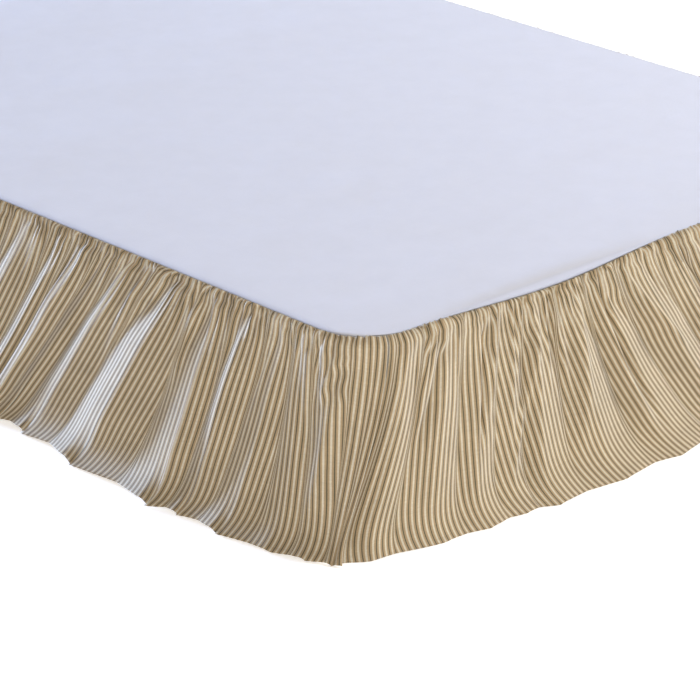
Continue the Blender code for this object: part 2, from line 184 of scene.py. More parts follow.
FOOT_PLEATS = (
    Pleat(0.046, 0.040, 0.03, 0.98, 0.007, 0.006),
    Pleat(0.140, 0.104, 0.03, 0.60, -0.009, 0.010),
    Pleat(0.262, 0.250, 0.02, 0.55, 0.006, 0.007),
    Pleat(0.368, 0.290, 0.02, 0.98, 0.007, 0.008),
    Pleat(0.398, 0.415, 0.03, 0.60, 0.006, 0.006),
    Pleat(0.460, 0.412, 0.02, 0.98, 0.007, 0.010),
    Pleat(0.519, 0.515, 0.02, 0.98, -0.013, 0.006),
    Pleat(0.233, 0.229, 0.02, 0.75, -0.010, 0.006),
    Pleat(0.585, 0.640, 0.02, 0.60, 0.006, 0.008),
    Pleat(0.740, 0.770, 0.02, 0.70, -0.006, 0.007),
    Pleat(0.840, 0.900, 0.02, 0.80, 0.006, 0.009),
)

# Gathers: their pitch along the seam, how far down the short and the long ones reach, the share
# of long ones, how high their ridges are, how far they lean as a share of the pitch, how wide the
# steep and the gentle side of a ridge are, how much wider they get on the way down, and over what
# length they rise from the seam.
GATHER_PITCH = (0.0075, 0.0150)
SHORT_REACH = (0.016, 0.060)
LONG_REACH = (0.080, 0.300)
LONG_SHARE = 0.50
GATHER_HEIGHT = (0.0034, 0.0072)
LOOSER = 1.6  # how much farther apart they are far up a side
GATHER_LEAN = 0.25
STEEP_SIDE = 0.0046
GENTLE_SIDE = 0.0072
GATHER_SPREAD = 1.1
GATHER_START = 0.0025
GATHER_COLUMNS = (0.0, 0.17, 0.34, 0.56, 0.78)  # the grid's columns, as shares of a pitch
STEEP_COLUMNS = 2  # how many of them are on a gather's steep side
PINCH = 0.0030  # height of the small pinches of the cloth right at the stitches
PINCH_REACH = 0.007
PUFF = 0.0012  # height by which the gathered cloth stands out as a whole
PUFF_REACH = 0.060
CALM_EDGE = 0.030  # from a ruffle's end, within which its gathers are lower
CALM_SHARE = 0.25  # of their height, right at the end

# Where the cloth's spare width goes: into the gathers at the seam and, more and more between these
# shares of the drop, into the valley past each crest, over this width.
SPARE_TO_VALLEYS = (-0.35, 0.35)
VALLEY_TUCK = 0.0020
LEAST_SHARES = 1e-9  # so that shares which are all nothing can still be divided by their sum

# How far the cloth has slid past the foot ruffle's folds by the hem, by distance along the seam.
Slide = namedtuple("Slide", "at by")
FOOT_SLIDES = (
    Slide(0.205, 0.0),
    Slide(0.262, 0.110),
    Slide(0.356, 0.095),
    Slide(0.445, 0.060),
    Slide(0.600, 0.0),
)
NO_SLIDES = (Slide(0.0, 0.0), Slide(1.0, 0.0))

# Crumples: waves per metre across and down the cloth, and their height.
Crumple = namedtuple("Crumple", "across down height")
CRUMPLES_FULL = 0.30  # share of the drop by which they are full
CRUMPLES = (Crumple(11.0, 4.5, 0.0040), Crumple(32.0, 9.0, 0.0015))

# Rows of a ruffle on the roll, and how much closer than usual they are near the seam and the hem.
ROLL_ROWS = 5
CLOSER_TOP = 2.4
CLOSER_TOP_REACH = 0.16
CLOSER_HEM = 2.0
CLOSER_HEM_REACH = 0.060
ROW_STEPS = 400  # with which the spacing of the rows is added up

# A ruffle: its node, side, folds, pleats, slides and flare, the height of its notches as a share
# of its crests', how strongly it is gathered, from where up the side its gathers are looser, the
# seed of its chance forms and the number of its rows.
Ruffle = namedtuple(
    "Ruffle", "node side folds pleats slides flare notch gathered looser_from seed rows"
)

# Camera, as in the photograph, whose width and focal length are in its own pixels.
PHOTO_WIDTH = 700
PHOTO_FOCUS = 3400
CAMERA_PLACE = (-4.398, -4.818, 2.561)
CAMERA_TURN = math.radians(-43.376)
CAMERA_DIP = math.radians(22.730)
CAMERA_SENSOR = 36.0
CAMERA_LENS = CAMERA_SENSOR * PHOTO_FOCUS / PHOTO_WIDTH

# Studio lights: place, what they face, width and height, power and colour.
Softbox = namedtuple("Softbox", "name place aim size power colour")
SOFTBOXES = (
    Softbox(
        name="Cool softbox",
        place=(-1.9, 14.0, 1.3),
        aim=(-0.8, -0.6, 0.2),
        size=(2.2, 1.8),
        power=6900,
        colour=(0.50, 0.66, 1.0),
    ),
    Softbox(
        name="Key softbox",
        place=(5.5, -3.0, 4.4),
        aim=(0.2, -1.0, 0.2),
        size=(1.8, 1.8),
        power=520,
        colour=(1.0, 0.98, 0.94),
    ),
    Softbox(
        name="Fill softbox",
        place=(-4.5, -5.0, 2.0),
        aim=(-0.8, -0.8, 0.2),
        size=(2.4, 2.4),
        power=130,
        colour=(1.0, 0.92, 0.83),
    ),
)
WORLD_LIGHT = 0.32
WORLD_COLOUR = (1.0, 0.88, 0.74)
FLOOR_SIZE = 300.0
FLOOR_WHITE = (0.97, 0.97, 0.97, 1.0)
FLOOR_GLOW = 0.45
GLOW_WHITE = (1.0, 1.0, 1.0, 1.0)

# Ticking: the width of a repeat, the colours of its stripes and their places within it.
STRIPE_REPEAT = 0.0130
CREAM = (0.66, 0.620, 0.500)
TAN = (0.49, 0.358, 0.216)
SHADED_TAN = (0.37, 0.290, 0.176)
DARK_LINE = (0.105, 0.094, 0.062)
STRIPE_BANDS = (
    (0.00, CREAM),
    (0.110, CREAM),
    (0.145, TAN),
    (0.395, SHADED_TAN),
    (0.430, DARK_LINE),
    (0.535, DARK_LINE),
    (0.570, SHADED_TAN),
    (0.840, TAN),
    (0.875, CREAM),
    (1.00, CREAM),
)


def ramp(x):
    """A soft step from 0 at x = 0 to 1 at x = 1."""
    x = np.clip(x, 0.0, 1.0)
    return x * x * (3.0 - 2.0 * x)


def ramp_between(span, x):
    return ramp((x - span[0]) / (span[1] - span[0]))


def follow(known, values, x):
    """A smooth line through the known values that never overshoots them, read at x."""
    known = np.asarray(known, float)
    values = np.asarray(values, float)
    step = np.diff(known)
    slope = np.diff(values) / step
    inner = np.zeros(len(known))
    rising = slope[:-1] * slope[1:] > 0
    mean = 2.0 * slope[:-1] * slope[1:] / np.where(rising, slope[:-1] + slope[1:], 1.0)
    inner[1:-1] = np.where(rising, mean, 0.0)
    inner[0] = slope[0]
    inner[-1] = slope[-1]
    i = np.clip(np.searchsorted(known, x) - 1, 0, len(step) - 1)
    t = (x - known[i]) / step[i]
    return (
        values[i] * (1 + 2 * t) * (1 - t) ** 2
        + values[i + 1] * t * t * (3 - 2 * t)
        + inner[i] * step[i] * t * (1 - t) ** 2
        - inner[i + 1] * step[i] * t * t * (1 - t)
    )


# The rim and the roll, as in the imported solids.


def rim_length(side):
    return side.length - 2 * RIM_START + 2 * HALF_ARC


def on_side(side, along, out):
    """Level vectors from shares along a side and outward of it."""
    return np.multiply.outer(along, side.along) + np.multiply.outer(out, side.out)


def rim(side, q):
    """Points of the rim at distances q from the middle of the side's first corner, and normals."""
    straight = side.length - 2 * RIM_START
    before = np.minimum(q - HALF_ARC, 0.0)
    after = np.maximum(q - HALF_ARC - straight, 0.0)
    turn = (before + after) / RIM_CORNER
    along = RIM_START + np.clip(q - HALF_ARC, 0.0, straight) + RIM_CORNER * np.sin(turn)
    out = -RIM_START + RIM_CORNER * np.cos(turn)
    points = np.array(side.corner) + on_side(side, along, out)
    return points, on_side(side, np.sin(turn), np.cos(turn))


def overhang(side, q):
    """Length of deck cloth that has rolled over the edge at the seam."""
    if side is HEAD:
        return np.full(len(q), USUAL_OVERHANG)
    if side is FOOT:
        length = np.full(len(q), LEAST_OVERHANG)
        for swell in FOOT_SWELLS:
            off = np.minimum(np.abs(q - swell.middle) / swell.reach, 1.0)
            length += swell.extra * np.cos(off * math.pi / 2) ** 2
        return length
    grown = ramp_between(SIDE_OVERHANG_GROWS, q)
    return LEAST_OVERHANG + (USUAL_OVERHANG - LEAST_OVERHANG) * grown


def rolled(side, q, angle):
    """Middle of the cloth on the roll, at angles down from level."""
    points, normals = rim(side, q)
    level = points + normals * (ROLL_RADIUS * np.sin(angle))[:, None]
    return np.column_stack([level, DECK_LEVEL - ROLL_RADIUS * (1.0 - np.cos(angle))])


# Main folds.


def far_folds(table, turn):
    """A table's folds, and more like them up to the head edge; turn sets how these stray."""
    last = table[-1]
    count = int((FAR_FOLDS_END - last.top) / FAR_STEP)
    step = (FAR_FOLDS_END - last.top) / count
    swing = last.hem_along - last.top
    swing_at_end = FAR_HEM_END - FAR_FOLDS_END
    folds = []
    for i in range(1, count):
        stray, other = (math.sin(wave * i + turn) for wave in STRAY_TURNS)
        done = i / count
        top = last.top + step * i + FAR_STRAY.top * stray
        folds.append(
            Fold(
                top,
                top + swing + (swing_at_end - swing) * done + FAR_STRAY.hem_along * other,
                FAR_FOLD.hem_out + FAR_STRAY.hem_out * stray,
                FAR_FOLD.late + FAR_STRAY.late * done,
                FAR_FOLD.ridge + FAR_STRAY.ridge * other,
                FAR_FOLD.flank + FAR_STRAY.flank * stray,
            )
        )
    edge_out = FAR_FOLD.hem_out - EDGE_DRAWN_IN
    edge = Fold(FAR_FOLDS_END, FAR_HEM_END, edge_out, FAR_FOLD.late, 0.0, EDGE_FLANK)
    return tuple(table) + tuple(folds) + (edge,)


def fold_height(folds, q, drop):
    """Height of the cloth over its valleys. Each fold is narrow and low under the seam."""
    tops = np.array([fold.top for fold in folds])
    ridges = np.array([fold.ridge for fold in folds])
    flanks = np.array([fold.flank for fold in folds])
    i = np.clip(np.searchsorted(tops, q, side="right") - 1, 0, len(folds) - 2)
    width = (tops[i + 1] - tops[i])[:, None]
    grown = FOLD_AT_SEAM + (1.0 - FOLD_AT_SEAM) * ramp(drop / FOLDS_FULL)
    flank = np.minimum(flanks[i][:, None], MOST_FLANK * width) * grown
    past = (q - tops[i])[:, None]
    fall = ridges[i][:, None] * (1.0 - np.clip(past / flank, 0.0, 1.0))
    face = np.maximum(past - flank, 0.0) / (width - flank)
    rise = ridges[i + 1][:, None] * np.minimum(face / FACE_RISE, 1.0)
    rise *= 1.0 - FACE_TILT * (1.0 - face)
    opening = ramp_between((FOLDS_OPEN, 1.0), drop)
    return (fall + rise) * grown * ramp(drop / FOLDS_START) * (1.0 - (1.0 - HEM_SHARE) * opening)


def hem_notches(folds, notch, q):
    """How far the hem is off the floor: most just past a crest, and nothing at the crests."""
    tops = np.array([fold.top for fold in folds])
    ridges = np.array([fold.ridge for fold in folds])
    i = np.clip(np.searchsorted(tops, q, side="right") - 1, 0, len(folds) - 2)
    past = np.clip((q - tops[i]) / (tops[i + 1] - tops[i]), 0.0, 1.0)
    return notch * ridges[i] * np.minimum(past / NOTCH_AT, (1.0 - past) / (1.0 - NOTCH_AT))


def drop_rows(count):
    """Shares of the drop from 0 to 1, closer together near the seam and the hem."""
    even = np.linspace(0.0, 1.0, ROW_STEPS)
    density = 1.0 + CLOSER_TOP * np.exp(-even / CLOSER_TOP_REACH)
    density += CLOSER_HEM * np.exp(-(1.0 - even) / CLOSER_HEM_REACH)
    reached = np.concatenate([[0.0], np.cumsum((density[1:] + density[:-1]) / 2)])
    return np.interp(np.linspace(0.0, reached[-1], count), reached, even)


def hanging(side, folds, flare, notch, q, drops):
    """The plain hang of a ruffle, by column and row: its roll, then its drop."""
    tops = [fold.top for fold in folds]
    hem_along = follow(tops, [fold.hem_along for fold in folds], q)
    hem_out = follow(tops, [fold.hem_out for fold in folds], q)
    late = follow(tops, [fold.late for fold in folds], q)
    seam = (overhang(side, q) + SEAM_GROOVE) / ROLL_RADIUS
    shares = np.arange(ROLL_ROWS) / ROLL_ROWS
    roll = [rolled(side, q, seam + (LEAVE_ANGLE - seam) * share) for share in shares]
    leave = rolled(side, q, np.full(len(q), LEAVE_ANGLE))
    level = np.array(side.corner) + on_side(side, hem_along, hem_out) - leave[:, :2]
    normals = rim(side, q)[1]
    away = normals * np.sum(level * normals, axis=1)[:, None]
    lift = HEM_LIFT + hem_notches(folds, notch, q)
    fall = []
    for drop in drops:
        swung = (drop**late)[:, None]
        flared = (1.0 - flare.share) * swung + flare.share * drop**flare.late
        place = leave[:, :2] + (level - away) * swung + away * flared
        fall.append(np.column_stack([place, leave[:, 2] + (lift - leave[:, 2]) * drop]))
    return np.stack(roll + fall, axis=1)


def square_to(grid, side, level=False):
    """Unit vectors square to a grid of points, away from the box spring."""
    normal = np.cross(np.gradient(grid, axis=0), np.gradient(grid, axis=1))
    if level:
        normal[:, :, 2] = 0.0
    normal /= np.linalg.norm(normal, axis=2, keepdims=True)
    if np.sum(normal[:, :, :2] @ np.array(side.out, float)) < 0:
        normal = -normal
    return normal


# Gathers, pleats and crumples.

Gather = namedtuple("Gather", "at lean reach height")


def draw_gathers(folds, looser_from, seed):
    """The gathers from one end of a seam to the other. One of them runs into each main crest."""
    draw = np.random.default_rng(seed)
    crests = [fold.top for fold in folds]
    start, end = crests[0], crests[-1]
    gathers = []
    at = start
    while at < end - GATHER_PITCH[0]:
        pitch = draw.uniform(*GATHER_PITCH) * (LOOSER if at > looser_from else 1.0)
        reach = draw.uniform(*(LONG_REACH if draw.random() < LONG_SHARE else SHORT_REACH))
        lean = pitch * GATHER_LEAN * draw.uniform(-1.0, 1.0)
        crest = min(crests, key=lambda top: abs(top - at))
        if gathers and abs(crest - at) < pitch / 2 and crest - gathers[-1].at > GATHER_PITCH[0] / 2:
            at = crest
        gathers.append(Gather(at, lean, reach, draw.uniform(*GATHER_HEIGHT)))
        at += pitch
    return gathers


def gather_columns(gathers, end):
    """Distances along the seam of the grid's columns: one of them on each gather's ridge."""
    places = [gather.at for gather in gathers] + [end]
    q = [a + (b - a) * share for a, b in zip(places, places[1:]) for share in GATHER_COLUMNS]
    return np.array(q + [end])


def gather_height(gathers, q, down):
    """Height that the gathers add at distances q along the seam and down the cloth from it."""
    height = PUFF * np.exp(-down / PUFF_REACH)
    for gather in gathers:
        gone = down / gather.reach
        past = q[:, None] - gather.at - gather.lean * ramp(gone)
        wider = 1.0 + GATHER_SPREAD * gone
        side = np.where(past > 0.0, past / STEEP_SIDE, -past / GENTLE_SIDE) / wider
        height += gather.height * (1.0 - ramp(gone)) * np.clip(1.0 - side, 0.0, 1.0)
    return height * ramp(down / GATHER_START)


def pinch_height(q, down, seed):
    """Height of the pinches at the stitches, drawn for each column."""
    pinches = np.random.default_rng(seed).uniform(-PINCH, PINCH, len(q))
    return pinches[:, None] * np.exp(-down / PINCH_REACH) * ramp(down / GATHER_START)


def pleat_height(pleats, q, drop):
    height = np.zeros((len(q), len(drop)))
    for pleat in pleats:
        way = (drop - pleat.start) / (pleat.end - pleat.start)
        fade = ramp(way / PLEAT_RISES) * ramp((1.0 - way) / PLEAT_FADES)
        centre = pleat.upper + (pleat.lower - pleat.upper) * np.clip(way, 0.0, 1.0)
        shape = np.exp(-(((q[:, None] - centre[None, :]) / pleat.width) ** 2))
        height += pleat.height * fade[None, :] * shape
    return height


def crumple_height(q, down, seed):
    height = np.zeros(down.shape)
    for i, distance in enumerate(q):
        for j, depth in enumerate(down[i]):
            for crumple in CRUMPLES:
                place = Vector((distance * crumple.across, depth * crumple.down, seed))
                height[i, j] += crumple.height * noise.noise(place)
    return height


def lengths(grid, axis):
    """Distance gone along an axis of a grid of points."""
    steps = np.linalg.norm(np.diff(grid, axis=axis), axis=2)
    start = np.zeros_like(np.take(steps, [0], axis=axis))
    return np.concatenate([start, np.cumsum(steps, axis=axis)], axis=axis)


def cloth_across(grid, q, folds, slides, drop):
    """Distance across the cloth. It is true on both sides of each crest, and what is spare in a
    row is tucked into the gathers' steep sides near the seam, and lower down into the valley."""
    across = lengths(grid, 0)
    crests = [int(np.abs(q - fold.top).argmin()) for fold in folds]
    place = np.zeros(across.shape)
    to_valley = ramp_between(SPARE_TO_VALLEYS, drop)
    slid = np.interp(q, [slide.at for slide in slides], [slide.by for slide in slides])
    steep = (np.arange(len(q) - 1) % len(GATHER_COLUMNS) < STEEP_COLUMNS).astype(float)
    middles = (q[:-1] + q[1:]) / 2
    start = 0.0
    for fold, following, first, last in zip(folds, folds[1:], crests, crests[1:]):
        own = across[first : last + 1] - across[first]
        needed = own[-1] + (slid[last] - slid[first]) * drop
        spare = needed.max() - needed
        valley = fold.top + min(fold.flank, MOST_FLANK * (following.top - fold.top))
        tuck = np.exp(-(((middles[first:last] - valley) / VALLEY_TUCK) ** 2))
        gathered = steep[first:last]
        tuck, gathered = (
            shares[:, None] / max(shares.sum(), LEAST_SHARES) for shares in (tuck, gathered)
        )
        taken = np.cumsum(to_valley * tuck + (1.0 - to_valley) * gathered, axis=0)
        place[first : last + 1] = start + own + spare * np.vstack([np.zeros(len(drop)), taken])
        place[first : last + 1] -= slid[first] * drop
        start += needed.max()
    return place


def ruffle_grid(ruffle):
    """Points of a ruffle's cloth, and where each is on the cloth, across it and up from the hem."""
    side, folds, seed = ruffle.side, ruffle.folds, ruffle.seed
    gathers = draw_gathers(folds, ruffle.looser_from, seed)
    q = gather_columns(gathers, folds[-1].top)
    fall = drop_rows(ruffle.rows - ROLL_ROWS)
    drop = np.concatenate([np.zeros(ROLL_ROWS), fall])
    grid = hanging(side, folds, ruffle.flare, ruffle.notch, q, fall)
    down = lengths(grid, 1)
    level = square_to(grid, side, level=True)
    high = fold_height(folds, q, drop) + pleat_height(ruffle.pleats, q, drop)
    high += crumple_height(q, down, seed) * ramp(drop / CRUMPLES_FULL)
    grid = grid + high[:, :, None] * level
    calm = ramp((q - q[0]) / CALM_EDGE) * ramp((q[-1] - q) / CALM_EDGE)
    gathered = gather_height(gathers, q, down) + pinch_height(q, down, seed)
    gathered *= ruffle.gathered * (CALM_SHARE + (1.0 - CALM_SHARE) * calm)[:, None]
    grid = grid + gathered[:, :, None] * square_to(grid, side)
    grid[:, 0, 2] -= SEAM_TUCK
    across = cloth_across(grid, q, folds, ruffle.slides, drop)
    up = lengths(grid, 1)
    return grid, across, up[:, -1:] - up


def ruffles():
    """The three ruffles, as they hang."""
    return (
        Ruffle(
            node="left_ruffle",
            side=LEFT,
            folds=far_folds(LEFT_FOLDS, turn=0.4),
            pleats=LEFT_PLEATS,
            slides=NO_SLIDES,
            flare=SHORT_FLARE,
            notch=0.38,
            gathered=1.0,
            looser_from=1.0,
            seed=11,
            rows=62,
        ),
        Ruffle(
            node="foot_ruffle",
            side=FOOT,
            folds=FOOT_FOLDS,
            pleats=FOOT_PLEATS,
            slides=FOOT_SLIDES,
            flare=USUAL_FLARE,
            notch=0.12,
            gathered=1.0,
            looser_from=2.0,
            seed=12,
            rows=74,
        ),
        Ruffle(
            node="right_ruffle",
            side=RIGHT,
            folds=far_folds(RIGHT_FOLDS, turn=1.9),
            pleats=(),
            slides=NO_SLIDES,
            flare=USUAL_FLARE,
            notch=0.35,
            gathered=0.45,
            looser_from=0.6,
            seed=13,
            rows=62,
        ),
    )


# Meshes.


def cloth_object(name, mesh, material):
    """An object from an open surface, as thick as the cloth."""
    data = bpy.data.meshes.new(name)
    mesh.to_mesh(data)
    mesh.free()
    data.shade_smooth()
    data.materials.append(material)
    obj = bpy.data.objects.new(name, data)
    bpy.context.scene.collection.objects.link(obj)
    thick = obj.modifiers.new("Thickness", "SOLIDIFY")
    thick.thickness = CLOTH
    thick.offset = 0.0
    return obj


def lay_on_cloth(mesh, places):
    """Gives a mesh the place of each of its points on the flat cloth, in metres."""
    layer = mesh.loops.layers.uv.new("cloth")
    mesh.verts.index_update()
    for face in mesh.faces:
        for loop in face.loops:
            loop[layer].uv = places[loop.vert.index]


def build_ruffle(ruffle, material):
    """A ruffle's piece, and the width and length of its cloth when laid flat."""
    grid, across, up = ruffle_grid(ruffle)
    columns, rows = across.shape
    mesh = bmesh.new()
    points = [[mesh.verts.new(point) for point in column] for column in grid]
    for i in range(columns - 1):
        for j in range(rows - 1):
            mesh.faces.new((points[i][j], points[i + 1][j], points[i + 1][j + 1], points[i][j + 1]))
    bmesh.ops.recalc_face_normals(mesh, faces=mesh.faces)
    lay_on_cloth(mesh, np.column_stack([across.ravel(), up.ravel()]))
    obj = cloth_object(ruffle.node.capitalize() + "_cloth", mesh, material)
    return obj, (float(across[-1, -1] - across[0, -1]), float(np.mean(up[:, 0])))


DECK_STATION = 0.008  # spacing of the points round the deck
DECK_LATTICE = 0.025  # spacing of the points inside it
DECK_ROLL = (0.0, 0.34, 0.67, 1.0)  # its rings, as shares of the way down the roll
INSIDE_RIM = 1  # the triangulation's word for faces within the rim alone
SAME_POINT = 1e-6

# The deck's faint ripples: waves per metre across and along it, the layer of noise that each reads
# and its share of their height; and over what distance from the rim they rise.
Ripple = namedtuple("Ripple", "across along layer share")
DECK_RIPPLES = (Ripple(5.0, 3.2, 0.7, 1.0), Ripple(13.0, 9.0, 3.1, 0.5))
DECK_RIPPLE = 0.0011
DECK_RIPPLE_FROM_RIM = 0.12


def deck_rings():
    """Rings of points round the deck: its rim, then down the roll to the seam."""
    rings = []
    for share in DECK_ROLL:
        ring = []
        for side, backwards in ((LEFT, False), (HEAD, False), (RIGHT, True), (FOOT, True)):
            count = int(rim_length(side) / DECK_STATION)
            q = np.linspace(0.0, rim_length(side), count)
            points = rolled(side, q, share * overhang(side, q) / ROLL_RADIUS)
            ring.append((points[::-1] if backwards else points)[:-1])
        rings.append(np.concatenate(ring))
    return rings


def deck_inside():
    """A lattice of points on the deck, clear of its rim."""
    half = np.array([DECK_WIDTH / 2 - ROLL_INSET, DECK_LENGTH / 2 - ROLL_INSET])
    steps = [np.arange(-h + DECK_LATTICE / 2, h, DECK_LATTICE) for h in half]
    places = np.stack(np.meshgrid(*steps, indexing="ij"), axis=-1).reshape(-1, 2)
    past = np.maximum(np.abs(places) - (half - RIM_CORNER), 0.0)
    return places[np.linalg.norm(past, axis=1) < RIM_CORNER - DECK_LATTICE / 2]


def deck_ripple(x, y):
    """How far the deck cloth stands off the box spring at a place."""
    inside = min(DECK_WIDTH / 2 - ROLL_INSET - abs(x), DECK_LENGTH / 2 - ROLL_INSET - abs(y))
    wave = 0.0
    for ripple in DECK_RIPPLES:
        place = Vector((x * ripple.across, y * ripple.along, ripple.layer))
        wave += ripple.share * noise.noise(place)
    return DECK_RIPPLE * max(wave, 0.0) * float(ramp(inside / DECK_RIPPLE_FROM_RIM))


def build_deck(material):
    """The deck's piece: a faintly rippled lattice within its rim, and the rings down its roll."""
    rings = deck_rings()
    count = len(rings[0])
    flat = [Vector(point[:2]) for point in rings[0]]
    flat += [Vector(place) for place in deck_inside()]
    loop = [(i, (i + 1) % count) for i in range(count)]
    cut = geometry.delaunay_2d_cdt(flat, loop, [], INSIDE_RIM, SAME_POINT)
    made, _, faces, origins, _, _ = cut
    mesh = bmesh.new()
    inner = [mesh.verts.new((p.x, p.y, DECK_LEVEL + deck_ripple(p.x, p.y))) for p in made]
    for face in faces:
        mesh.faces.new([inner[i] for i in face])
    found = {origin: inner[i] for i, ones in enumerate(origins) for origin in ones}
    last = [found[i] for i in range(count)]
    for ring in rings[1:]:
        outer = [mesh.verts.new(point) for point in ring]
        for i in range(count):
            mesh.faces.new((last[i - 1], outer[i - 1], outer[i], last[i]))
        last = outer
    bmesh.ops.recalc_face_normals(mesh, faces=mesh.faces)
    if sum(face.normal.z for face in mesh.faces) < 0:
        bmesh.ops.reverse_faces(mesh, faces=mesh.faces)
    lay_on_cloth(mesh, [vert.co[:2] for vert in mesh.verts])
    return cloth_object("Deck_cloth", mesh, material)


# Node helpers.


def new_material(name, roughness, **settings):
    """A material with its Principled surface, whose even values are set on its own sockets."""
    material = bpy.data.materials.new(name)
    material.use_nodes = True
    surface = material.node_tree.nodes["Principled BSDF"]
    surface.inputs["Roughness"].default_value = roughness
    for socket, value in settings.items():
        surface.inputs[socket.replace("_", " ")].default_value = value
    return material, material.node_tree, surface


def node(tree, kind, **settings):
    """A new shader node of a kind."""
    made = tree.nodes.new("ShaderNode" + kind)
    for name, value in settings.items():
        setattr(made, name, value)
    return made


def math_node(tree, operation, *values):
    """A sum or the like; its values are sockets or numbers."""
    made = node(tree, "Math", operation=operation)
    for socket, value in zip(made.inputs, values):
        if isinstance(value, bpy.types.NodeSocket):
            tree.links.new(value, socket)
        else:
            socket.default_value = value
    return made.outputs[0]


def noise_node(tree, place, scale, detail=2.0, roughness=0.5):
    made = node(tree, "TexNoise")
    made.inputs["Scale"].default_value = scale
    made.inputs["Detail"].default_value = detail
    made.inputs["Roughness"].default_value = roughness
    tree.links.new(place, made.inputs["Vector"])
    return made.outputs["Fac"]


def stretch(tree, place, scale):
    """A place whose directions are scaled apart, so that a noise read there is drawn out."""
    made = node(tree, "Mapping", vector_type="POINT")
    made.inputs["Scale"].default_value = scale
    tree.links.new(place, made.inputs["Vector"])
    return made.outputs["Vector"]


def remap(tree, value, span, result=(0.0, 1.0)):
    """A value carried over from one span to another, and held at its ends."""
    made = node(tree, "MapRange", clamp=True)
    tree.links.new(value, made.inputs["Value"])
    for name, number in zip(("From Min", "From Max", "To Min", "To Max"), (*span, *result)):
        made.inputs[name].default_value = number
    return made.outputs["Result"]


def grey(tree, value):
    """A value as a grey colour."""
    made = node(tree, "CombineColor")
    for socket in made.inputs:
        tree.links.new(value, socket)
    return made.outputs[0]


def multiply_colours(tree, colour, other):
    made = node(tree, "Mix", data_type="RGBA", blend_type="MULTIPLY")
    made.inputs["Factor"].default_value = 1.0
    first, second = (socket for socket in made.inputs if socket.type == "RGBA")
    tree.links.new(colour, first)
    tree.links.new(other, second)
    return next(socket for socket in made.outputs if socket.type == "RGBA")


def split_place(tree, place):
    made = node(tree, "SeparateXYZ")
    tree.links.new(place, made.inputs[0])
    return made.outputs


def colour_ramp(tree, value, stops):
    """Colours by a value, from stops of (place, colour)."""
    made = node(tree, "ValToRGB")
    stops_made = made.color_ramp.elements
    while len(stops_made) < len(stops):
        stops_made.new(0.5)
    for stop, (place, colour) in zip(stops_made, stops):
        stop.position = place
        stop.color = (*colour, 1.0)
    tree.links.new(value, made.inputs["Fac"])
    return made.outputs["Color"]


def bump(tree, surface, height, distance, strength):
    """Shades a surface as if lifted by a height times a distance in metres."""
    made = node(tree, "Bump")
    made.inputs["Strength"].default_value = strength
    made.inputs["Distance"].default_value = distance
    tree.links.new(height, made.inputs["Height"])
    tree.links.new(made.outputs["Normal"], surface.inputs["Normal"])


def cloth_place(tree):
    """The place on the flat cloth, in metres: across it, and up from its hem."""
    return node(tree, "UVMap", uv_map="cloth").outputs["UV"]


def group_of(name, inputs, outputs):
    """An empty shader node group with its sockets; inputs are (name, kind, default)."""
    group = bpy.data.node_groups.new(name, "ShaderNodeTree")
    for title, kind, default in inputs:
        socket = group.interface.new_socket(title, in_out="INPUT", socket_type="NodeSocket" + kind)
        if default is not None:
            socket.default_value = default
    for title, kind in outputs:
        group.interface.new_socket(title, in_out="OUTPUT", socket_type="NodeSocket" + kind)
    entry = group.nodes.new("NodeGroupInput")
    leaving = group.nodes.new("NodeGroupOutput")
    return group, entry.outputs, leaving.inputs


def use_group(tree, group, place, **values):
    """A group placed in a tree with its own values."""
    made = node(tree, "Group", node_tree=group)
    tree.links.new(place, made.inputs["Place"])
    for name, value in values.items():
        made.inputs[name.replace("_", " ")].default_value = value
    return made.outputs


# Effects that more than one material uses. Their waves are per metre, across and up the cloth, or
# along and across the grain.

UNEVEN_THREADS = (900.0, 60.0, 1.0)
OVER_AND_UNDER = 0.5  # height of the weave against that of its uneven threads
SLUBS_UP = (420.0, 14.0, 1.0)
SLUBS_ACROSS = (12.0, 380.0, 1.0)
FLECKS = (620.0, 270.0, 1.0)
CLOUDS = 16.0
GROWTH = (0.9, 9.0, 9.0)
GROWTH_BANDS = 16.0  # from the least to the most growth
FIBRES = (14.0, 420.0, 420.0)


def plain_weave_group():
    """Plain weave: threads over and under each other, each a little unlike the next."""
    sockets = [("Place", "Vector", None), ("Threads per metre", "Float", 1800.0)]
    results = [("Height", "Float"), ("Thread", "Float")]
    group, entry, leaving = group_of("Plain weave", sockets, results)
    place = split_place(group, entry["Place"])
    turns = math_node(group, "MULTIPLY", entry["Threads per metre"], math.pi)
    across = math_node(group, "SINE", math_node(group, "MULTIPLY", place["X"], turns))
    along = math_node(group, "SINE", math_node(group, "MULTIPLY", place["Y"], turns))
    crossing = math_node(group, "MULTIPLY", across, along)
    uneven = noise_node(group, stretch(group, entry["Place"], UNEVEN_THREADS), 1.0, 1.0)
    height = math_node(group, "MULTIPLY_ADD", crossing, OVER_AND_UNDER, uneven)
    group.links.new(height, leaving["Height"])
    group.links.new(uneven, leaving["Thread"])
    return group


